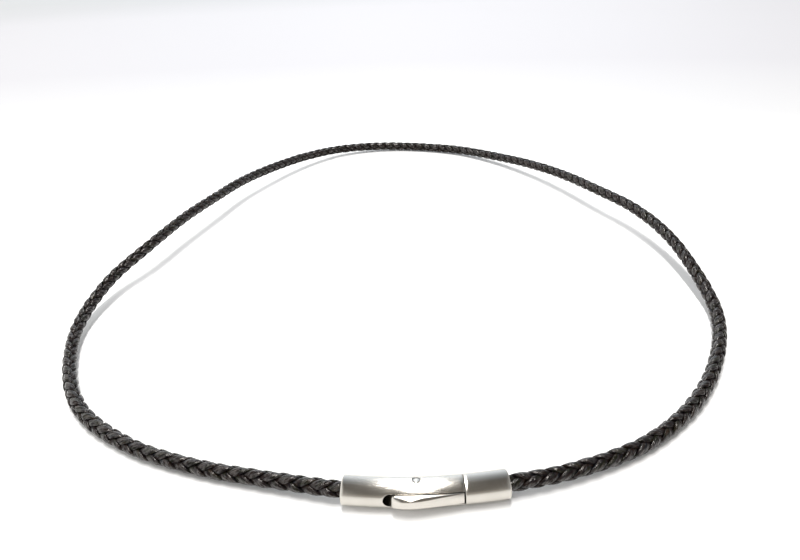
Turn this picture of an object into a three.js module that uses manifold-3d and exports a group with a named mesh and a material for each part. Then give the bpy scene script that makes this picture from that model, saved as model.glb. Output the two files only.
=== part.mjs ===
// Braided leather necklace, closed by a steel lever clasp and lying in a loop on a flat surface.
// Millimetres, +Z up. The origin is under the middle of the clasp, on the surface that it lies on.
// +X runs along the clasp from its housing to its plug, and the loop lies on the +Y side.
import * as THREE from 'three';
import { mergeVertices } from 'three/addons/utils/BufferGeometryUtils.js';
import Module from 'manifold-3d';

const wasm = await Module();
wasm.setup();

// Cord
const cordDiameter = 3;
const cordSides = 8;
const cordSteps = 80; // about two diameters each

// Clasp as a whole
const claspDiameter = 5;
const claspLength = 27.4;
const housingLength = 19.8;
const splitGap = 0.3; // between the housing and the plug
const rimChamfer = 0.3;
const bendRadius = 90; // the clasp bends in plan, to follow the neck
const faceTilt = THREE.MathUtils.degToRad(12); // the lever faces outwards and a little up
const sides = 24; // facets round a tube, one of them flat on the surface below
const bendStep = 2.6; // longest straight run of a bent piece

// Inside the clasp
const socketDepth = 5.3;
const socketClearance = 0.3;
const boreDiameter = 3;
const boreEndWall = 2.3; // steel between the cord socket and the bore

// Lever and its slot
const slotWidth = 2.3;
const leverWidth = 1.9;
const leverLength = 11.5;
const leverEndGap = 0.05; // between the lever's hooked end and the housing's end plane
const leverUnderside = 0.85; // height of the lever's inner face over the tube's axis
const hookFromEnd = 1.05;
const hookLength = 0.7;
const hookTip = -0.05; // height of the hook's tip over the tube's axis

// Pivot
const pivotFromThumb = 4;
const pivotHeight = 0.3;
const pinDiameter = 1.2;
const pinHoleDiameter = 1.5;
const pinLength = 4.6;
const bossRadius = 1.15;

// Tongue on the plug
const tongueDiameter = 1.6;
const tongueHeight = -0.4;
const tongueLength = 5.6;
const notchClearance = 0.3;

const cordRadius = cordDiameter / 2;
const claspRadius = claspDiameter / 2;
const housingStart = -claspLength / 2;
const housingEnd = housingStart + housingLength;
const plugStart = housingEnd + splitGap;
const plugEnd = claspLength / 2;
const leverEnd = housingEnd - leverEndGap;
const leverStart = leverEnd - leverLength;
const pivotAlong = leverStart + pivotFromThumb;
const slotRadius = slotWidth / 2;
const slotStart = leverStart - 0.2; // centre of the slot's round end
const hookEnd = leverEnd - hookFromEnd;
const hookStart = hookEnd - hookLength;

// Height of the lever's outer face over the tube's surface, along the lever from its thumb end
const leverRise = [
  { along: 0, rise: 0.3 },
  { along: 0.5, rise: 0.72 },
  { along: 3, rise: 1.1 },
  { along: 5.3, rise: 0.82 },
  { along: 8.1, rise: 0.4 },
  { along: 11.5, rise: 0 },
];

// Centreline of the cord, from inside the housing's socket round the loop to inside the plug's.
// The two long rear stretches arch clear of the surface; the front, the sides and the back lie on it.
const cordRoute = [
  [-8.69, 0.42, 2.5],
  [-13.65, 1.04, 2.5],
  [-25, 3.9, 2],
  [-40.4, 8.2, 1.6],
  [-54.8, 14.4, 1.6],
  [-67.6, 24.5, 1.6],
  [-75.6, 38, 1.75],
  [-79.6, 53.5, 2.8],
  [-77.4, 69.6, 5.3],
  [-71.2, 83.2, 7.6],
  [-66, 98.8, 8.2],
  [-60.6, 114, 7.7],
  [-55.1, 129, 6.8],
  [-47.6, 142.6, 5.7],
  [-38.5, 155.9, 4.2],
  [-25.9, 166.9, 2.7],
  [-10.3, 170.7, 1.85],
  [5.2, 168.5, 1.6],
  [20.1, 162, 1.85],
  [31.9, 151.2, 2.8],
  [41.7, 138.1, 4.4],
  [49.5, 124, 5.9],
  [56.3, 108.6, 6.9],
  [62.7, 94.7, 7.1],
  [66.9, 79.6, 6.3],
  [68.4, 63.1, 4.3],
  [67.8, 47.9, 1.9],
  [61.5, 32.8, 1.6],
  [51.9, 19.7, 1.6],
  [39.6, 9.8, 1.6],
  [25.1, 3.6, 2.1],
  [13.65, 1.04, 2.5],
  [8.69, 0.42, 2.5],
];

// Turns a closed geometry into a solid that can be joined and cut.
function solid(geometry) {
  geometry.deleteAttribute('normal');
  geometry.deleteAttribute('uv');
  const merged = mergeVertices(geometry, 1e-4);
  const index = merged.index.array;
  const triVerts = [];
  for (let i = 0; i < index.length; i += 3) {
    const [a, b, c] = index.subarray(i, i + 3);
    if (a !== b && b !== c && c !== a) triVerts.push(a, b, c);
  }
  return new wasm.Manifold(new wasm.Mesh({
    numProp: 3,
    vertProperties: new Float32Array(merged.attributes.position.array),
    triVerts: new Uint32Array(triVerts),
  }));
}

function geometryOf(body) {
  const { vertProperties, triVerts } = body.getMesh();
  const geometry = new THREE.BufferGeometry();
  geometry.setAttribute('position', new THREE.BufferAttribute(vertProperties, 3));
  geometry.setIndex(new THREE.BufferAttribute(triVerts, 1));
  geometry.computeVertexNormals();
  return geometry;
}

// Clasp pieces are drawn straight: x along the clasp, y across the lever, z out through its face.
// This wraps one round the bend and rolls it by tilt about the tube's axis.
function bend(geometry, tilt) {
  const position = geometry.attributes.position;
  const cos = Math.cos(tilt);
  const sin = Math.sin(tilt);
  for (let i = 0; i < position.count; i++) {
    const angle = position.getX(i) / bendRadius;
    const across = position.getY(i);
    const out = position.getZ(i);
    const radius = bendRadius - across * sin + out * cos;
    const up = across * cos + out * sin;
    position.setXYZ(i, radius * Math.sin(angle), bendRadius - radius * Math.cos(angle), claspRadius + up);
  }
  return geometry;
}

// Points from one [x, y] to the next along a polyline, no further apart than bendStep.
function stepped(corners) {
  const points = [];
  corners.forEach(([x, y], i) => {
    const [fromX, fromY] = corners[Math.max(i - 1, 0)];
    const steps = Math.max(1, Math.ceil(Math.abs(x - fromX) / bendStep));
    for (let k = 1; k <= steps; k++) {
      const part = k / steps;
      points.push(new THREE.Vector2(fromX + (x - fromX) * part, fromY + (y - fromY) * part));
    }
  });
  return points;
}

// A turned body along x, from a profile of [x, radius] that starts and ends on the axis.
// Its facets lie outside the stated radius, so that they touch it at their middles.
function turned(profile) {
  const outside = 1 / Math.cos(Math.PI / sides);
  const points = stepped(profile).map((p) => new THREE.Vector2(p.y * outside, p.x));
  return new THREE.LatheGeometry(points, sides, Math.PI / sides).rotateZ(-Math.PI / 2);
}

// A plain round tube blank with a chamfered rim at each end.
function tubeBlank(start, end) {
  const rim = claspRadius - rimChamfer;
  return turned([
    [start, 0],
    [start, rim],
    [start + rimChamfer, claspRadius],
    [end - rimChamfer, claspRadius],
    [end, rim],
    [end, 0],
  ]);
}

function bore(start, end, radius) {
  return solid(bend(turned([[start, 0], [start, radius], [end, radius], [end, 0]]), 0));
}

// A pin or hole across the clasp at the pivot.
function crossPin(diameter, length) {
  const pin = new THREE.CylinderGeometry(diameter / 2, diameter / 2, length, 16);
  return bend(pin.translate(pivotAlong, 0, pivotHeight), faceTilt);
}

// The slot that the lever lies in: round at the thumb end and open at the housing's end.
function slotCutter() {
  const openEnd = housingEnd + 1;
  const shape = new THREE.Shape();
  shape.setFromPoints(stepped([[openEnd, -slotRadius], [slotStart, -slotRadius]]));
  shape.absarc(slotStart, 0, slotRadius, -Math.PI / 2, Math.PI / 2, true);
  stepped([[slotStart, slotRadius], [openEnd, slotRadius]]).forEach((p) => shape.lineTo(p.x, p.y));
  const options = { depth: claspDiameter, bevelEnabled: false, curveSegments: 10 };
  const cutter = new THREE.ExtrudeGeometry(shape, options);
  return solid(bend(cutter, faceTilt));
}

function claspHousing() {
  const mouth = housingStart - 1;
  const socketEnd = housingStart + socketDepth;
  const boreStart = socketEnd + boreEndWall;
  const body = solid(bend(tubeBlank(housingStart, housingEnd), 0))
    .subtract(bore(mouth, socketEnd, cordRadius + socketClearance))
    .subtract(bore(boreStart, housingEnd + 1, boreDiameter / 2))
    .subtract(slotCutter())
    .subtract(solid(crossPin(pinHoleDiameter, claspDiameter + 1)));
  return geometryOf(body);
}

// The lever's side outline in x and z: a plate with a round boss at the pivot and a hook near its end.
function leverOutline() {
  const top = claspRadius + 2;
  const bossReach = Math.sqrt(bossRadius ** 2 - (leverUnderside - pivotHeight) ** 2);
  const bossAngle = Math.atan2(leverUnderside - pivotHeight, bossReach);
  const shape = new THREE.Shape();
  shape.setFromPoints(stepped([
    [pivotAlong - bossReach, leverUnderside],
    [leverStart, leverUnderside],
    [leverStart, top],
    [leverEnd, top],
    [leverEnd, leverUnderside],
    [hookEnd, leverUnderside],
    [hookEnd, hookTip],
    [hookStart, hookTip],
    [hookStart, leverUnderside],
    [pivotAlong + bossReach, leverUnderside],
  ]));
  shape.absarc(pivotAlong, pivotHeight, bossRadius, bossAngle, Math.PI - bossAngle, true);
  return shape;
}

// A turned body whose radius follows the lever's outer face.
function leverCrown() {
  const points = leverRise.map((row) => new THREE.Vector2(leverStart + row.along, claspRadius + row.rise));
  const face = new THREE.SplineCurve(points).getPoints(20).map((p) => [p.x, p.y]);
  return turned([[leverStart, 0], ...face, [leverEnd, 0]]);
}

function claspLever() {
  const options = { depth: leverWidth, bevelEnabled: false, curveSegments: 12 };
  const plate = new THREE.ExtrudeGeometry(leverOutline(), options);
  plate.rotateX(Math.PI / 2).translate(0, leverWidth / 2, 0);
  const body = solid(bend(plate, faceTilt))
    .intersect(solid(bend(leverCrown(), 0)))
    .subtract(solid(crossPin(pinHoleDiameter, claspDiameter + 1)));
  return geometryOf(body);
}

// The plug is one solid with its tongue, which has a notch for the lever's hook.
function claspPlug() {
  const tongueStart = plugStart - tongueLength;
  const tongueRoot = plugStart + 1;
  const tongue = turned([
    [tongueStart, 0],
    [tongueStart, tongueDiameter / 2],
    [tongueRoot, tongueDiameter / 2],
    [tongueRoot, 0],
  ]).translate(0, 0, tongueHeight);
  const notchLength = hookLength + 2 * notchClearance;
  const notchFloor = hookTip - notchClearance;
  const notch = new THREE.BoxGeometry(notchLength, claspDiameter, 2);
  notch.translate((hookStart + hookEnd) / 2, 0, notchFloor + 1);
  const body = solid(bend(tubeBlank(plugStart, plugEnd), 0))
    .subtract(bore(plugEnd - socketDepth, plugEnd + 1, cordRadius + socketClearance))
    .add(solid(bend(tongue, faceTilt)).subtract(solid(bend(notch, faceTilt))));
  return geometryOf(body);
}

function braidedCord() {
  const points = cordRoute.map((p) => new THREE.Vector3(...p));
  const curve = new THREE.CatmullRomCurve3(points, false, 'centripetal');
  const corners = Array.from({ length: cordSides }, (_, i) => {
    const angle = ((i + 0.5) * 2 * Math.PI) / cordSides;
    return new THREE.Vector2(cordRadius * Math.cos(angle), cordRadius * Math.sin(angle));
  });
  return new THREE.ExtrudeGeometry(new THREE.Shape(corners), {
    steps: cordSteps,
    extrudePath: curve,
    bevelEnabled: false,
  });
}

function piece(name, geometry, material) {
  const mesh = new THREE.Mesh(geometry, material);
  mesh.name = name;
  return mesh;
}

const leather = { color: 0x1d1a19, roughness: 0.5, metalness: 0 };
const steel = { color: 0xc4beb4, roughness: 0.3, metalness: 1 };

const clasp = new THREE.Group();
clasp.add(
  piece('clasp_housing', claspHousing(), new THREE.MeshStandardMaterial(steel)),
  piece('clasp_lever', claspLever(), new THREE.MeshStandardMaterial(steel)),
  piece('pivot_pin', crossPin(pinDiameter, pinLength), new THREE.MeshStandardMaterial(steel)),
  piece('clasp_plug', claspPlug(), new THREE.MeshStandardMaterial(steel)),
);

const necklace = new THREE.Group();
necklace.add(clasp, piece('braided_cord', braidedCord(), new THREE.MeshStandardMaterial(leather)));

export default necklace;
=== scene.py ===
import math

import bmesh
import bpy
import numpy as np
from mathutils import Matrix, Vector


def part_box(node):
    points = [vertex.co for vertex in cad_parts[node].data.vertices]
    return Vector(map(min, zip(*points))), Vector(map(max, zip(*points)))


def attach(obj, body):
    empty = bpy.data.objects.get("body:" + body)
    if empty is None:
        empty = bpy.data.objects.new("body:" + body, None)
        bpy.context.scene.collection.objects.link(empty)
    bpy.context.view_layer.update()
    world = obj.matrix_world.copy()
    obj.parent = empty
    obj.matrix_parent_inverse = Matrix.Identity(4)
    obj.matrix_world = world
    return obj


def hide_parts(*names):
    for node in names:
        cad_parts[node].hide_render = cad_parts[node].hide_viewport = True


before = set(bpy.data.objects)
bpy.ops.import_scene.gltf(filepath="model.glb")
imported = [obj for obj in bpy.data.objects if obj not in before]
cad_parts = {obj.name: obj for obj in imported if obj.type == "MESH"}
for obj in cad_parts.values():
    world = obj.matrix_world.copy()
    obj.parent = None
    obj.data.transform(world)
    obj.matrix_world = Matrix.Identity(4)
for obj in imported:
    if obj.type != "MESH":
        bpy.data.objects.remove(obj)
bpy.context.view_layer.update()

MM = 0.001
SEED = 7

# Centreline of the cord, from inside the housing's socket round the loop to inside the plug's.
CORD_ROUTE = [
    (-0.00869, 0.00042, 0.0025),
    (-0.01365, 0.00104, 0.0025),
    (-0.025, 0.0039, 0.002),
    (-0.0404, 0.0082, 0.0016),
    (-0.0548, 0.0144, 0.0016),
    (-0.0676, 0.0245, 0.0016),
    (-0.0756, 0.038, 0.00175),
    (-0.0796, 0.0535, 0.0028),
    (-0.0774, 0.0696, 0.0053),
    (-0.0712, 0.0832, 0.0076),
    (-0.066, 0.0988, 0.0082),
    (-0.0606, 0.114, 0.0077),
    (-0.0551, 0.129, 0.0068),
    (-0.0476, 0.1426, 0.0057),
    (-0.0385, 0.1559, 0.0042),
    (-0.0259, 0.1669, 0.0027),
    (-0.0103, 0.1707, 0.00185),
    (0.0052, 0.1685, 0.0016),
    (0.0201, 0.162, 0.00185),
    (0.0319, 0.1512, 0.0028),
    (0.0417, 0.1381, 0.0044),
    (0.0495, 0.124, 0.0059),
    (0.0563, 0.1086, 0.0069),
    (0.0627, 0.0947, 0.0071),
    (0.0669, 0.0796, 0.0063),
    (0.0684, 0.0631, 0.0043),
    (0.0678, 0.0479, 0.0019),
    (0.0615, 0.0328, 0.0016),
    (0.0519, 0.0197, 0.0016),
    (0.0396, 0.0098, 0.0016),
    (0.0251, 0.0036, 0.0021),
    (0.01365, 0.00104, 0.0025),
    (0.00869, 0.00042, 0.0025),
]
CORD_LENGTH = 0.4837
POINTS_PER_SPAN = 60
CENTRE_POINTS = 1200

# Round braid: half the strands wind each way, and each goes over two and under two. A strand's
# turn round the cord is measured in radians, and so is its width.
STRANDS = 8
LAY = 0.0122  # length of one full turn of a strand
RINGS_PER_PASS = 16  # one pass is over two strands and under two, in half a lay
OVER_RADIUS = 0.00117  # from the cord's centreline to a strand's middle where it lies on top
UNDER_RADIUS = 0.00047  # and where it passes below others
HALF_WIDTH = math.radians(44)
WIDTH_WANDER, WIDTH_WAVE = 0.06, 0.009  # a share of the width, and the length of its waves
HALF_THICKNESS = 0.00034
THICKNESS_WANDER, THICKNESS_WAVE = 0.10, 0.007
STEEPNESS = 1.2  # of the step between on top and below
SECTION_ROUNDING = 3.0  # exponent of a strand's section: 2 is an ellipse, and more is squarer
STRAND_SPACING = 0.02  # between the strands in the space that the leather's texture is read in

# The braid's rows turn slowly round the cord between these two places along it
ROWS_BETWEEN = (0.15, 0.43)
ROWS_AT_ENDS = (math.radians(58), math.radians(-3))
ROWS_WANDER, ROWS_WAVE = math.radians(8), 0.12

# Clasp, in millimetres, as in the frame
CLASP_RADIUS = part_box("clasp_plug")[1].z / MM / 2
BEND_RADIUS = 90
FACE_TILT = math.radians(12)
HOUSING_START, HOUSING_END = -13.7, 6.21
PLUG_START, PLUG_END = 6.29, 13.7
RIM_RADIUS = 0.28
JOINT_RADIUS = 0.13  # of the two rims that meet
MOUTH_RADIUS = 1.62
MOUTH_CHAMFER = 0.1
SOCKET_DEPTH = 5.2
SLOT_RADIUS = 1.15
SLOT_CENTRE = -5.65  # of its round end
SLOT_EDGE = 0.08  # rounding of the slot's edge
SLOT_WALL_FOOT = -0.2  # height where its wall ends and its round floor starts
SLOT_FLOOR_DEPTH = 1.2
LEVER_START, LEVER_END = -5.45, 6.05
LEVER_HALF_WIDTH = 1.0
LEVER_UNDERSIDE = 0.85
LEVER_FOOT = 0.08  # chamfer along its underside
PIVOT_ALONG, PIVOT_HEIGHT = -1.45, 0.3
BOSS_RADIUS, BOSS_HOLE_RADIUS = 1.08, 0.72
BOSS_INSET = 0.04  # from the lever's sides
BOSS_HOLE_REACH = 2
PIN_RADIUS = 0.67
PIN_SAG = 0.04  # of its visible head below the middle of its hole
PIN_SINK = 0.02  # of its end below the tube's surface
PIN_DOME = [(0.12, 0.0), (0.05, 0.04), (0.02, 0.12)]  # (back from its end, in from its side)
PIN_FLAT = 0.4  # share of its radius that is flat at the end
PIN_HOLE_RADIUS = 0.76
PIN_HOLE_FLARE = 0.64  # how much wider the hole's cutter gets towards its ends
PIN_HOLE_FLARE_FROM = CLASP_RADIUS - 0.06
PIN_HOLE_REACH = CLASP_RADIUS + 0.6
# (along, out) round the hook: upright behind, sloped in front
HOOK = [(4.3, 1.0), (4.3, 0.0), (4.38, -0.05), (4.7, -0.05), (5.0, 0.35), (5.0, 1.0)]
NOTCH = [(4.0, -0.35), (5.3, -0.35), (5.3, 1.0), (4.0, 1.0)]
NOTCH_REACH = 2
TONGUE_TIP = 0.8  # place along the clasp
TONGUE_RADIUS = 0.8
TONGUE_CHAMFER = 0.2
TONGUE_OVERLAP = 0.6  # with the plug's tube
TONGUE_HEIGHT = -0.4
SHARP_FROM = math.radians(38)  # edges steeper than this stay sharp


def catmull_rom(points, per_span):
    """Points along the centripetal Catmull-Rom curve that the frame's cord follows."""
    points = np.asarray(points, float)
    first = 2 * points[0] - points[1]
    last = 2 * points[-1] - points[-2]
    p = np.vstack([first, points, last])
    t = np.linspace(0, 1, per_span, endpoint=False)[:, None]
    spans = []
    for a, b, c, d in zip(p, p[1:], p[2:], p[3:]):
        ab, bc, cd = (np.linalg.norm(q - r) ** 0.5 for q, r in ((b, a), (c, b), (d, c)))
        start = ((b - a) / ab - (c - a) / (ab + bc) + (c - b) / bc) * bc
        end = ((c - b) / bc - (d - b) / (bc + cd) + (d - c) / cd) * bc
        square = 3 * (c - b) - 2 * start - end
        cube = 2 * (b - c) + start + end
        spans.append(b + start * t + square * t**2 + cube * t**3)
    return np.vstack([*spans, points[-1:]])


def evenly(points, count):
    """The same line, cut into equal steps, with its length up to each point."""
    length = np.concatenate([[0], np.cumsum(np.linalg.norm(np.diff(points, axis=0), axis=1))])
    at = np.linspace(0, length[-1], count)
    return np.stack([np.interp(at, length, points[:, i]) for i in range(3)], axis=1), at


def unit(v):
    return v / np.linalg.norm(v, axis=-1, keepdims=True)


def wander(at, wavelength, rng):
    """A smooth random curve between about -1 and 1."""
    waves = [
        np.sin(2 * np.pi * (at / (wavelength * rng.uniform(0.7, 1.6)) + rng.uniform()))
        for _ in range(5)
    ]
    return sum(waves) / 2.5


def add_mesh(name, points, faces, straight):
    """A smooth mesh object. straight is each point's place before bending, in millimetres."""
    mesh = bpy.data.meshes.new(name)
    mesh.from_pydata([tuple(p) for p in points], [], faces)
    place = mesh.attributes.new("straight", "FLOAT_VECTOR", "POINT")
    place.data.foreach_set("vector", np.asarray(straight, np.float32).ravel())
    mesh.polygons.foreach_set("use_smooth", [True] * len(mesh.polygons))
    mesh.update()
    piece = bpy.data.objects.new(name, mesh)
    bpy.context.scene.collection.objects.link(piece)
    return piece


def tube_faces(rings, around, start):
    """Faces of a closed tube of rings, with a flat cap at each end."""
    faces = []
    for i in range(rings - 1):
        low, high = start + i * around, start + (i + 1) * around
        for j in range(around):
            k = (j + 1) % around
            faces.append((low + j, low + k, high + k, high + j))
    last = start + (rings - 1) * around
    faces.append(tuple(range(start + around - 1, start - 1, -1)))
    faces.append(tuple(range(last, last + around)))
    return faces


# ---------------------------------------------------------------- camera

# Fitted to the photo together with the cord's route
CAMERA_PLACE = (-0.00094, -0.07351, 0.08724)
CAMERA_TURN, CAMERA_PITCH, CAMERA_ROLL = (math.radians(a) for a in (1.1, -30.97, -3))
SENSOR_WIDTH, FOCAL_LENGTH = 36, 29.25  # millimetres
NEAREST_SEEN = 0.005


def make_camera():
    camera = bpy.data.objects.new("camera", bpy.data.cameras.new("camera"))
    camera.data.sensor_width = SENSOR_WIDTH
    camera.data.lens = FOCAL_LENGTH
    camera.data.clip_start = NEAREST_SEEN
    aim = (
        Matrix.Rotation(CAMERA_TURN, 4, "Z")
        @ Matrix.Rotation(math.pi / 2 + CAMERA_PITCH, 4, "X")
        @ Matrix.Rotation(CAMERA_ROLL, 4, "Z")
    )
    camera.matrix_world = Matrix.Translation(CAMERA_PLACE) @ aim
    bpy.context.scene.collection.objects.link(camera)
    bpy.context.scene.camera = camera


# ---------------------------------------------------------------- cord

def strand_section():
    """(across, out) of points round a strand's section: five on its outer face between the two
    edges, and two on its inner face."""
    across = np.array([-1.0, -0.86, -0.5, 0.0, 0.5, 0.86, 1.0, 0.6, -0.6])
    out = (1 - np.abs(across) ** SECTION_ROUNDING) ** (1 / SECTION_ROUNDING)
    out[7:] *= -1
    return across, out


def make_cord():
    rng = np.random.default_rng(SEED)
    centre, at = evenly(catmull_rom(CORD_ROUTE, POINTS_PER_SPAN), CENTRE_POINTS)
    ahead = unit(np.gradient(centre, axis=0))
    side = unit(np.cross(ahead, (0, 0, 1)))
    above = np.cross(side, ahead)
    rows = np.interp(at, ROWS_BETWEEN, ROWS_AT_ENDS) + ROWS_WANDER * wander(at, ROWS_WAVE, rng)

    def along(values, where):
        columns = [np.interp(where, at, values[:, i]) for i in range(3)]
        return np.stack(columns, axis=-1)

    whole = 2 * np.pi * CORD_LENGTH / LAY
    rings = round(whole / np.pi * RINGS_PER_PASS) + RINGS_PER_PASS
    # twice the turn at the strand's middle, from a little before the cord to a little past it
    passed = np.linspace(-1, 2 * whole + 1, rings)[:, None]
    width, height = strand_section()
    points, faces, straight = [], [], []
    a_hand = STRANDS // 2
    for strand in range(STRANDS):
        hand = 1 if strand < a_hand else -1
        start = 2 * np.pi / a_hand * (strand % a_hand)
        place = passed * LAY / (4 * np.pi)
        across = HALF_WIDTH * width * (1 + WIDTH_WANDER * wander(place, WIDTH_WAVE, rng))
        turn = (passed - hand * across) / 2
        azimuth = hand * turn + across + start
        on_top = np.cos(passed + 2 * hand * start - hand * np.pi / 4)
        on_top = 0.5 + 0.5 * hand * np.tanh(STEEPNESS * on_top) / math.tanh(STEEPNESS)
        uneven = 1 + THICKNESS_WANDER * wander(place, THICKNESS_WAVE, rng)
        thickness = HALF_THICKNESS * uneven
        radius = UNDER_RADIUS + (OVER_RADIUS - UNDER_RADIUS) * on_top + thickness * height
        where = turn * LAY / (2 * np.pi)
        azimuth += np.interp(where, at, rows)
        outward = np.cos(azimuth)[:, :, None] * along(above, where)
        outward = outward + np.sin(azimuth)[:, :, None] * along(side, where)
        ring = along(centre, where) + radius[:, :, None] * outward
        faces += tube_faces(rings, len(width), strand * rings * len(width))
        points.append(ring.reshape(-1, 3))
        aside = (across - across[0, 0]) * OVER_RADIUS + STRAND_SPACING * strand
        unbent = np.stack([where, aside, radius], axis=2) / MM
        straight.append(unbent.reshape(-1, 3))
    cord = add_mesh("leather_braid", np.vstack(points), faces, np.vstack(straight))
    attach(cord, "necklace")
    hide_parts("braided_cord")
    return cord


make_camera()
cord = make_cord()


# ---------------------------------------------------------------- clasp shapes

def bend(points, tilt):
    """Wraps points drawn straight, in millimetres, round the clasp's bend, and rolls them."""
    along, across, out = np.asarray(points, float).T
    angle = along / BEND_RADIUS
    radius = BEND_RADIUS - across * math.sin(tilt) + out * math.cos(tilt)
    up = across * math.cos(tilt) + out * math.sin(tilt)
    bent = [radius * np.sin(angle), BEND_RADIUS - radius * np.cos(angle), CLASP_RADIUS + up]
    return np.stack(bent, axis=1) * MM


WELD = 1e-4  # points nearer than this are one, in millimetres
TOO_SHORT = 1e-5  # and edges shorter than this are removed


class Shell:
    """Grids and polygons of points that are welded into one closed mesh."""

    def __init__(self):
        self.points = []
        self.faces = []

    def grid(self, rows):
        rows = np.asarray(rows, float)
        count, across = rows.shape[:2]
        start = len(self.points)
        self.points += [tuple(p) for p in rows.reshape(-1, 3)]
        for i in range(count - 1):
            for j in range(across - 1):
                a = start + i * across + j
                b = a + across
                self.faces.append((a, a + 1, b + 1, b))

    def polygon(self, points):
        start = len(self.points)
        self.points += [tuple(p) for p in points]
        self.faces.append(tuple(range(start, len(self.points))))

    def build(self, name):
        mesh = bpy.data.meshes.new(name)
        mesh.from_pydata(self.points, [], self.faces)
        work = bmesh.new()
        work.from_mesh(mesh)
        bmesh.ops.remove_doubles(work, verts=work.verts, dist=WELD)
        bmesh.ops.dissolve_degenerate(work, dist=TOO_SHORT, edges=work.edges)
        bmesh.ops.recalc_face_normals(work, faces=work.faces)
        work.to_mesh(mesh)
        work.free()
        piece = bpy.data.objects.new(name, mesh)
        bpy.context.scene.collection.objects.link(piece)
        return piece


def combine(piece, tool, operation):
    """Joins tool to piece or cuts it away, and removes tool."""
    modifier = piece.modifiers.new("combine", "BOOLEAN")
    modifier.object = tool
    modifier.operation = operation
    modifier.solver = "EXACT"
    depsgraph = bpy.context.evaluated_depsgraph_get()
    result = bpy.data.meshes.new_from_object(piece.evaluated_get(depsgraph))
    piece.modifiers.clear()
    piece.data = result
    bpy.data.objects.remove(tool)


def finish_clasp_piece(piece, tilt, body, node):
    """Bends a piece that was drawn straight, and puts it in its node's place."""
    mesh = piece.data
    mesh.name = piece.name
    drawn = np.empty(len(mesh.vertices) * 3, np.float32)
    mesh.vertices.foreach_get("co", drawn)
    place = mesh.attributes.new("straight", "FLOAT_VECTOR", "POINT")
    place.data.foreach_set("vector", drawn)
    angle = drawn[::3] / BEND_RADIUS
    heading = np.stack([np.cos(angle), np.sin(angle), 0 * angle], axis=1)
    along = mesh.attributes.new("along", "FLOAT_VECTOR", "POINT")
    along.data.foreach_set("vector", heading.ravel())
    mesh.vertices.foreach_set("co", bend(drawn.reshape(-1, 3), tilt).astype(np.float32).ravel())
    mesh.polygons.foreach_set("use_smooth", [True] * len(mesh.polygons))
    mesh.update()
    mesh.set_sharp_from_angle(angle=SHARP_FROM)
    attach(piece, body)
    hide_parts(node)
    return piece


def circle(count):
    return np.linspace(0, 2 * np.pi, count + 1)


def turned_rows(profile, angles):
    """Rows of points round the x axis, one for each (along, radius) of the profile."""
    rows = []
    for x, radius in profile:
        row = [np.full_like(angles, x), radius * np.sin(angles), radius * np.cos(angles)]
        rows.append(np.stack(row, axis=1))
    return rows


def stretch(start, end, longest):
    """Places from start to end, no further apart than longest."""
    return np.linspace(start, end, max(2, math.ceil(abs(end - start) / longest) + 1))


def rounded_rim(end, direction, radius=RIM_RADIUS):
    """Profile of a rim, from the tube's surface to its end face, rounded."""
    rim = []
    for a in np.linspace(0, np.pi / 2, 5):
        inwards = direction * radius * (1 - math.sin(a))
        rim.append((end - inwards, CLASP_RADIUS - radius * (1 - math.cos(a))))
    return rim


def socket_profile(mouth, direction):
    """From the end face into the blind hole that the cord sits in."""
    bottom = mouth - direction * SOCKET_DEPTH
    return [
        (mouth, MOUTH_RADIUS + MOUTH_CHAMFER),
        (mouth - direction * MOUTH_CHAMFER, MOUTH_RADIUS),
        (bottom, MOUTH_RADIUS),
        (bottom, 0),
    ]


def slot_depth_rows(surface):
    """(half width, height) of the slot from the tube's surface down its wall to its round floor."""
    edge = [
        (SLOT_RADIUS + SLOT_EDGE * (1 - math.sin(a)), -SLOT_EDGE * (1 - math.cos(a)))
        for a in np.linspace(0, np.pi / 2, 4)
    ]
    rows = [(width, surface(width) + drop) for width, drop in edge]
    top = rows[-1][1]
    rows += [(SLOT_RADIUS, z) for z in np.linspace(top, SLOT_WALL_FOOT, 5)[1:]]
    for a in np.linspace(0, np.pi / 2, 7)[1:]:
        rows.append((SLOT_RADIUS * math.cos(a), SLOT_WALL_FOOT - SLOT_FLOOR_DEPTH * math.sin(a)))
    return rows


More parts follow.
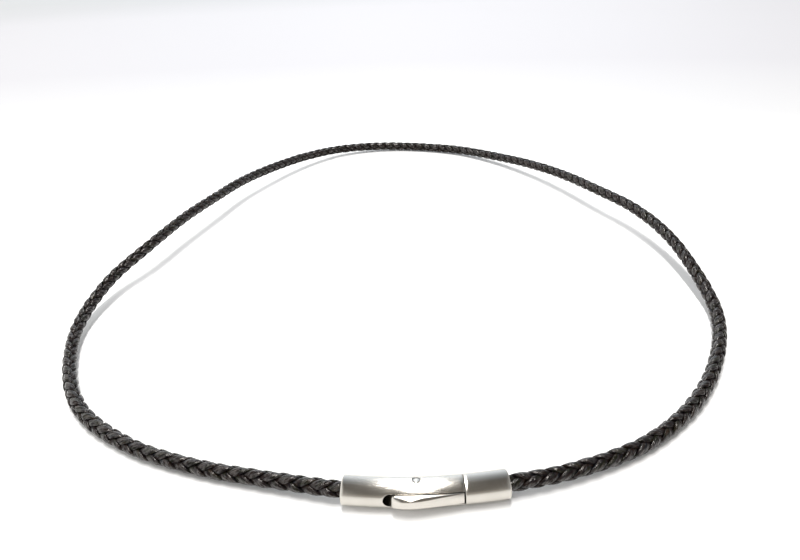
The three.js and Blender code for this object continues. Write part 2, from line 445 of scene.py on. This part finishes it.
def make_housing():
    shell = Shell()
    mouth_half = SLOT_RADIUS + SLOT_EDGE
    half_angle = math.asin(mouth_half / CLASP_RADIUS)
    bows = np.linspace(-np.pi / 2, np.pi / 2, 25)
    in_slot = np.arcsin(mouth_half * np.sin(bows) / CLASP_RADIUS)
    beside = np.linspace(half_angle, 2 * np.pi - half_angle, 73)
    left = HOUSING_START + RIM_RADIUS
    right = HOUSING_END - JOINT_RADIUS

    # outer surface left of the slot, up to the slot's round end
    angles = np.concatenate([in_slot, beside[1:]])
    round_end = SLOT_CENTRE - mouth_half * np.cos(bows)
    ends = np.concatenate([round_end, np.full(len(beside) - 1, SLOT_CENTRE)])
    rows = []
    for t in np.linspace(0, 1, 21):
        along = left + (ends - left) * t
        row = [along, CLASP_RADIUS * np.sin(angles), CLASP_RADIUS * np.cos(angles)]
        rows.append(np.stack(row, axis=1))
    shell.grid(rows)

    # left rim and socket
    rim = rounded_rim(HOUSING_START, -1)
    shell.grid(turned_rows(rim + socket_profile(HOUSING_START, -1), angles))

    # outer surface beside the slot, with the right rim
    right_rim = rounded_rim(HOUSING_END, 1, JOINT_RADIUS)
    profile = [(x, CLASP_RADIUS) for x in stretch(SLOT_CENTRE, right, 0.4)] + right_rim[1:]
    shell.grid(turned_rows(profile, beside))

    # the slot's round end
    def surface_over(radius):
        return lambda half: math.sqrt(radius**2 - half**2)

    bowl = []
    for half, height in slot_depth_rows(surface_over(CLASP_RADIUS)):
        across = half * np.sin(bows)
        drop = height - math.sqrt(CLASP_RADIUS**2 - half**2)
        on_wall = half >= SLOT_RADIUS - 1e-9 and height > 0
        # the edge follows the tube's surface, and the wall below it ends level
        if on_wall:
            out = np.sqrt(CLASP_RADIUS**2 - across**2) + drop
        else:
            out = np.full_like(across, height)
        bowl.append(np.stack([SLOT_CENTRE - half * np.cos(bows), across, out], axis=1))
    shell.grid(bowl)

    # the slot's straight walls and floor
    rows = []
    for x, radius in profile:
        side = slot_depth_rows(surface_over(radius))
        line = [(x, half, height) for half, height in side]
        line += [(x, -half, height) for half, height in reversed(side[:-1])]
        rows.append(line)
    shell.grid(rows)

    # end face that meets the plug
    end_rim = turned_rows(right_rim[-1:], beside)[0]
    shell.polygon(list(end_rim) + rows[-1][::-1][1:-1])
    housing = shell.build("housing_tube")
    combine(housing, pin_hole(), "DIFFERENCE")
    return finish_clasp_piece(housing, FACE_TILT, "necklace", "clasp_housing")


def across_pin(profile, name, lift=0):
    """A turned body across the clasp at the pivot, from a profile of (across, radius)."""
    angles = circle(40)
    height = PIVOT_HEIGHT + lift
    rows = []
    for y, r in profile:
        along, out = PIVOT_ALONG + r * np.cos(angles), height + r * np.sin(angles)
        rows.append(np.stack([along, np.full_like(angles, y), out], axis=1))
    shell = Shell()
    shell.grid(rows)
    return shell.build(name)


def both_ends(half):
    """The whole profile of a body that is the same at both ends."""
    return [(-y, r) for y, r in reversed(half)] + half


def pin_hole():
    widest = PIN_HOLE_RADIUS + PIN_HOLE_FLARE
    half = [
        (PIN_HOLE_FLARE_FROM, PIN_HOLE_RADIUS),
        (PIN_HOLE_REACH, widest),
        (PIN_HOLE_REACH, 0),
    ]
    return across_pin(both_ends(half), "pin_hole")


def make_pin():
    end = CLASP_RADIUS - PIN_SINK
    dome = [(end - back, PIN_RADIUS - inset) for back, inset in PIN_DOME]
    dome += [(end, PIN_RADIUS * PIN_FLAT), (end, 0)]
    pin = across_pin(both_ends(dome), "pin_head", PIN_SAG)
    return finish_clasp_piece(pin, FACE_TILT, "necklace", "pivot_pin")


# Lever: height of its outer face over the tube, and rounding of its edges, from the thumb end
LEVER_FACE = [
    # along, rise, edge rounding
    (0.0, 0.50, 0.35),
    (0.5, 0.74, 0.50),
    (1.6, 1.00, 0.60),
    (3.0, 1.07, 0.60),
    (4.2, 0.98, 0.56),
    (5.3, 0.82, 0.50),
    (8.1, 0.40, 0.32),
    (11.5, 0.0, 0.12),
]
THUMB_ROUNDING = 0.45
THUMB_INSET = 0.7  # share of the rounding that the thumb end gets
HOOKED_END_ROUNDING = 0.06
CROWN_GAIN = 1.6  # how much more the crown's radius grows than the face rises


def end_inset(distance, radius):
    """How far a rounded end's surface is set in, at a distance from the end."""
    if distance >= radius:
        return 0
    return radius - math.sqrt(max(radius**2 - (radius - distance) ** 2, 0))


def lever_section(along, table):
    """(across, out) round the lever's section at a place along it."""
    rise = np.interp(along, table[:, 0], table[:, 1])
    rounding = np.interp(along, table[:, 0], table[:, 2])
    length = LEVER_END - LEVER_START
    inset = THUMB_INSET * end_inset(along, THUMB_ROUNDING)
    inset += end_inset(length - along, HOOKED_END_ROUNDING)
    half = LEVER_HALF_WIDTH - inset
    top = CLASP_RADIUS + rise - inset
    crown = CLASP_RADIUS + CROWN_GAIN * rise
    shoulder = half - rounding
    drop = crown - math.sqrt(crown**2 - shoulder**2)
    lean = math.asin(shoulder / crown)
    # the rounding turns from the crown's slope to the upright side
    middle = top - drop - rounding * math.cos(lean)
    turns = np.linspace(np.pi / 2 - lean, 0, 8)
    corner = [(shoulder + rounding * math.cos(a), middle + rounding * math.sin(a)) for a in turns]
    shift = half - corner[-1][0]
    corner = [(y + shift, z) for y, z in corner]
    across = np.linspace(0, corner[0][0], 6)[:-1]
    face = [(y, top - crown + math.sqrt(crown**2 - y**2)) for y in across]
    foot_top = LEVER_UNDERSIDE + LEVER_FOOT
    side = [(half, z) for z in np.linspace(corner[-1][1], foot_top, 3)[1:]]
    side.append((half - LEVER_FOOT, LEVER_UNDERSIDE))
    right = face + corner + side
    left = [(-y, z) for y, z in reversed(right[1:])]
    return right + left


def make_lever():
    table = catmull_rom(LEVER_FACE, 12)
    length = LEVER_END - LEVER_START
    thumb = THUMB_ROUNDING * (1 - np.cos(np.linspace(0, np.pi / 2, 8)))
    hooked = length - HOOKED_END_ROUNDING * (1 - np.cos(np.linspace(np.pi / 2, 0, 4)))
    places = np.concatenate([thumb, np.linspace(thumb[-1], hooked[0], 48)[1:-1], hooked])
    rows = []
    for along in places:
        ring = [(LEVER_START + along, y, z) for y, z in lever_section(along, table)]
        rows.append(ring + ring[:1])
    shell = Shell()
    shell.grid(rows)
    shell.polygon(rows[0][:-1])
    shell.polygon(rows[-1][:-1][::-1])
    lever = shell.build("thumb_lever")
    half = LEVER_HALF_WIDTH - BOSS_INSET
    combine(lever, drum(half, BOSS_RADIUS, "boss"), "UNION")
    combine(lever, prism(HOOK, half, "hook"), "UNION")
    combine(lever, drum(BOSS_HOLE_REACH, BOSS_HOLE_RADIUS, "hole"), "DIFFERENCE")
    return finish_clasp_piece(lever, FACE_TILT, "lever", "clasp_lever")


def drum(half_length, radius, name):
    """A plain cylinder round the pivot."""
    return across_pin(both_ends([(half_length, radius), (half_length, 0)]), name)


def prism(outline, half_width, name):
    """A body across the clasp with an outline of (along, out)."""
    shell = Shell()
    sides = [[(x, y, z) for x, z in outline] for y in (-half_width, half_width)]
    shell.grid([side + side[:1] for side in sides])
    shell.polygon(sides[0][::-1])
    shell.polygon(sides[1])
    return shell.build(name)


def make_plug():
    shell = Shell()
    rim = list(reversed(rounded_rim(PLUG_START, -1, JOINT_RADIUS)))
    places = stretch(PLUG_START + JOINT_RADIUS, PLUG_END - RIM_RADIUS, 0.5)
    wall = [(x, CLASP_RADIUS) for x in places]
    far_rim = rounded_rim(PLUG_END, 1)
    profile = [(PLUG_START, 0)] + rim + wall[1:-1] + far_rim + socket_profile(PLUG_END, 1)
    shell.grid(turned_rows(profile, circle(96)))
    plug = shell.build("plug_tube")
    combine(plug, make_tongue(), "UNION")
    return finish_clasp_piece(plug, FACE_TILT, "necklace", "clasp_plug")


def make_tongue():
    """The plug's tongue, with the notch that the hook drops into."""
    root = PLUG_START + TONGUE_OVERLAP
    profile = [
        (TONGUE_TIP, 0),
        (TONGUE_TIP, TONGUE_RADIUS - TONGUE_CHAMFER),
        (TONGUE_TIP + TONGUE_CHAMFER, TONGUE_RADIUS),
        (root, TONGUE_RADIUS),
        (root, 0),
    ]
    shell = Shell()
    shell.grid(np.asarray(turned_rows(profile, circle(32))) + (0, 0, TONGUE_HEIGHT))
    tongue = shell.build("tongue")
    combine(tongue, prism(NOTCH, NOTCH_REACH, "notch"), "DIFFERENCE")
    return tongue


housing = make_housing()
pin = make_pin()
lever = make_lever()
plug = make_plug()


# ---------------------------------------------------------------- materials

class Tree:
    """A material's node tree, with its Principled shader."""

    def __init__(self, name):
        self.material = bpy.data.materials.new(name)
        self.material.use_nodes = True
        self.tree = self.material.node_tree
        self.shader = self.tree.nodes["Principled BSDF"]

    def put(self, node, inputs):
        for name, value in inputs.items():
            socket = node.inputs[name]
            if isinstance(value, bpy.types.NodeSocket):
                self.tree.links.new(value, socket)
            else:
                socket.default_value = value

    def add(self, kind, settings=None, inputs=None):
        node = self.tree.nodes.new("ShaderNode" + kind)
        for name, value in (settings or {}).items():
            setattr(node, name, value)
        self.put(node, inputs or {})
        return node

    def place(self, scale):
        """Each point's place before bending, in millimetres, scaled along, across and out."""
        straight = self.add("Attribute", {"attribute_name": "straight"})
        inputs = {"Vector": straight.outputs["Vector"], "Scale": scale}
        return self.add("Mapping", inputs=inputs).outputs[0]

    def noise(self, scale, detail=2, roughness=0.5):
        inputs = {"Vector": self.place(scale), "Scale": 1, "Detail": detail, "Roughness": roughness}
        return self.add("TexNoise", inputs=inputs).outputs["Fac"]

    def spread(self, value, low, high, from_low=0.3, from_high=0.7):
        """value between from_low and from_high, moved to low to high."""
        inputs = {
            "Value": value,
            "From Min": from_low,
            "From Max": from_high,
            "To Min": low,
            "To Max": high,
        }
        return self.add("MapRange", inputs=inputs).outputs[0]

    def distance(self, vector, **mapping):
        """Distance from the middle, after the mapping."""
        place = self.add("Mapping", inputs={"Vector": vector, **mapping})
        inputs = {"Vector": place.outputs[0]}
        return self.add("VectorMath", {"operation": "LENGTH"}, inputs).outputs["Value"]

    def ramp(self, value, stops):
        node = self.add("ValToRGB", inputs={"Fac": value})
        elements = node.color_ramp.elements
        while len(elements) < len(stops):
            elements.new(0.5)
        for element, (position, colour) in zip(elements, stops):
            element.position = position
            element.color = (*colour, 1)
        return node.outputs["Color"]

    def bump(self, height, distance, strength=1.0, normal=None):
        inputs = {"Height": height, "Distance": distance, "Strength": strength}
        if normal is not None:
            inputs["Normal"] = normal
        return self.add("Bump", inputs=inputs).outputs["Normal"]


def leather():
    """Black leather with a soft grain, whose crowns shine in patches, with painted shade that dulls
    the grooves.
    """
    t = Tree("black_leather")
    tint = t.noise((0.35, 0.9, 0.9), detail=3)
    colour = t.ramp(
        tint,
        [
            (0.32, (0.0040, 0.0048, 0.0070)),
            (0.44, (0.0120, 0.0070, 0.0048)),
            (0.52, (0.0060, 0.0042, 0.0060)),
            (0.60, (0.0065, 0.0075, 0.0038)),
            (0.72, (0.0190, 0.0115, 0.0075)),
        ],
    )
    grain = t.noise((2.2, 3.2, 3.2), detail=1.5, roughness=0.4)
    streaks = t.noise((0.8, 5, 5), detail=3)
    normal = t.bump(streaks, 0.00003, 0.9)
    normal = t.bump(grain, 0.00012, 0.9, normal)
    worn = t.noise((1.3, 2.6, 2.6), detail=2)
    # painted shade: the grooves between the strands get less shine, so they stay dark as if shaded
    out = t.add("SeparateXYZ", inputs={"Vector": t.place((1, 1, 1))}).outputs["Z"]
    crown = t.spread(out, 0.03, 1.0, 1.12, 1.44)
    patches = t.spread(worn, 0.06, 1.0, 0.38, 0.68)
    shine = t.add("Math", {"operation": "MULTIPLY"}, {0: patches, 1: crown})
    t.put(
        t.shader,
        {
            "Base Color": colour,
            "Roughness": t.spread(streaks, 0.20, 0.32),
            "Normal": normal,
            "Specular IOR Level": shine.outputs[0],
            "Specular Tint": (1, 0.955, 0.925, 1),
        },
    )
    return t.material


def steel(name, colour):
    """Satin steel with fine lines along the clasp, so that it is rougher round it than along it."""
    t = Tree(name)
    lines = t.noise((0.2, 9, 9), detail=4, roughness=0.6)
    cloud = t.noise((0.3, 0.3, 0.3), detail=2)
    shade = t.ramp(cloud, [(0.3, colour), (0.7, tuple(c * 0.94 for c in colour))])
    along = t.add("Attribute", {"attribute_name": "along"})
    t.put(
        t.shader,
        {
            "Base Color": shade,
            "Metallic": 1.0,
            "Roughness": t.spread(lines, 0.14, 0.18),
            "Normal": t.bump(lines, 0.00001, 0.25),
            "Anisotropic": 0.95,
            "Anisotropic Rotation": 0.25,
            "Tangent": along.outputs["Vector"],
        },
    )
    return t.material


def floor_material():
    """White paper, with painted light falloff: greyer, with a little lavender, further away."""
    t = Tree("pale_floor")
    floor_place = t.add("TexCoord").outputs["Object"]
    # painted light: whiter near the necklace and greyer further out, standing in for the light
    # falling off
    paper_with_painted_falloff = t.ramp(
        t.distance(floor_place, Location=(0.06, 0, 0), Scale=(0.5, 1, 1)),
        [
            (0.17, (0.93, 0.93, 0.93)),
            (0.24, (0.60, 0.60, 0.61)),
            (0.33, (0.55, 0.545, 0.57)),
            (0.54, (0.60, 0.595, 0.62)),
            (0.68, (0.53, 0.54, 0.55)),
        ],
    )
    # painted light: the floor further out than the camera sees gives off a faint light, which keeps
    # the far floor pale in other views
    beyond = t.distance(floor_place, Scale=(0.27, 0.333, 1))
    rises = [(0.22, 0), (0.333, 0.16), (0.467, 0.28), (0.667, 0.36), (1, 0.39)]
    painted_glow = t.ramp(beyond, [(at, (level, level, level * 1.02)) for at, level in rises])
    t.put(
        t.shader,
        {
            "Base Color": paper_with_painted_falloff,
            "Roughness": 0.5,
            "Specular IOR Level": 0.3,
            "Emission Color": painted_glow,
            "Emission Strength": 1.0,
        },
    )
    return t.material


tube_steel = steel("satin_steel", (0.57, 0.545, 0.50))
lever_steel = steel("lever_steel", (0.59, 0.56, 0.515))
for piece, material in (
    (cord, leather()),
    (housing, tube_steel),
    (pin, tube_steel),
    (plug, tube_steel),
    (lever, lever_steel),
):
    piece.data.materials.clear()
    piece.data.materials.append(material)


# ---------------------------------------------------------------- floor and light

FLOOR_REACH = 3


def make_floor():
    r = FLOOR_REACH
    mesh = bpy.data.meshes.new("floor")
    mesh.from_pydata([(-r, -r, 0), (r, -r, 0), (r, r, 0), (-r, r, 0)], [], [(0, 1, 2, 3)])
    mesh.materials.append(floor_material())
    floor = bpy.data.objects.new("floor", mesh)
    bpy.context.scene.collection.objects.link(floor)


# Softboxes over the necklace: (width, length, watts, place)
SOFTBOXES = [
    (0.12, 0.60, 8.0, (-0.018, 0.07, 1.0)),
    (0.11, 3.2, 8.0, (-0.018, 0.4, 1.02)),
]
SOFTBOX_COLOUR = (1, 0.985, 0.96)


def make_lights():
    """A bright softbox overhead, and a much longer and dimmer one just above it."""
    for width, length, watts, place in SOFTBOXES:
        softbox = bpy.data.lights.new("softbox", "AREA")
        softbox.shape = "RECTANGLE"
        softbox.size = width
        softbox.size_y = length
        softbox.energy = watts
        softbox.color = SOFTBOX_COLOUR
        lamp = bpy.data.objects.new("softbox", softbox)
        lamp.location = place
        bpy.context.scene.collection.objects.link(lamp)


# Light from the room: degrees from the camera's side over the top to the far side, then red,
# green and blue
ROOM = [
    (0, 0.62, 0.57, 0.51),
    (12, 0.43, 0.40, 0.36),
    (22, 0.21, 0.195, 0.175),
    (90, 0.15, 0.14, 0.13),
    (110, 0.29, 0.31, 0.33),
    (130, 0.54, 0.59, 0.64),
    (155, 1.08, 1.17, 1.28),
    (180, 1.35, 1.48, 1.63),
]
ROOM_LEFT, ROOM_RIGHT = (1.40, 1.40, 1.38), (0.50, 0.50, 0.50)
BRIGHTEST = 2.0  # the room's colours are stored as shares of this
SIDES_BLEND = 0.3  # left turns to right between these values of X, to either side of the middle
SIDES_FROM, SIDES_FULL = 0.25, 0.55  # how far to a side the sides start to show, and show fully


def make_world():
    """A room that is brightest on the far side and at the left, and darkest overhead."""
    world = bpy.data.worlds.new("room")
    world.use_nodes = True
    bpy.context.scene.world = world
    tree = world.node_tree

    def add(kind, *inputs, **settings):
        node = tree.nodes.new("ShaderNode" + kind)
        for name, value in settings.items():
            setattr(node, name, value)
        for index, value in inputs:
            if isinstance(value, bpy.types.NodeSocket):
                tree.links.new(value, node.inputs[index])
            else:
                node.inputs[index].default_value = value
        return node

    way = add("SeparateXYZ", (0, add("TexCoord").outputs["Generated"])).outputs
    towards = add("Math", (0, way["Y"]), (1, -1.0), operation="MULTIPLY").outputs[0]
    height = add("Math", (0, way["Z"]), (1, towards), operation="ARCTAN2").outputs[0]
    height = add("Math", (0, height), operation="ABSOLUTE").outputs[0]
    height = add("Math", (0, height), (1, math.pi), operation="DIVIDE").outputs[0]
    ramp = add("ValToRGB", (0, height))
    stops = ramp.color_ramp.elements
    while len(stops) < len(ROOM):
        stops.new(0.5)
    for stop, (degrees, *colour) in zip(stops, ROOM):
        stop.position = degrees / 180
        stop.color = (*(c / BRIGHTEST for c in colour), 1)
    right = add("MapRange", (0, way["X"]), (1, -SIDES_BLEND), (2, SIDES_BLEND)).outputs[0]
    left_colour, right_colour = (
        (*(c / BRIGHTEST for c in colour), 1) for colour in (ROOM_LEFT, ROOM_RIGHT)
    )
    sides = add("Mix", (0, right), (6, left_colour), (7, right_colour), data_type="RGBA")
    sideways = add("Math", (0, way["X"]), operation="ABSOLUTE").outputs[0]
    limits = (1, SIDES_FROM), (2, SIDES_FULL)
    share = add("MapRange", (0, sideways), *limits, interpolation_type="SMOOTHSTEP").outputs[0]
    layers = (6, ramp.outputs["Color"]), (7, sides.outputs[2])
    room = add("Mix", (0, share), *layers, data_type="RGBA")
    background = tree.nodes["Background"]
    tree.links.new(room.outputs[2], background.inputs["Color"])
    background.inputs["Strength"].default_value = BRIGHTEST


make_floor()
make_lights()
make_world()
bpy.context.scene.view_settings.view_transform = "Standard"
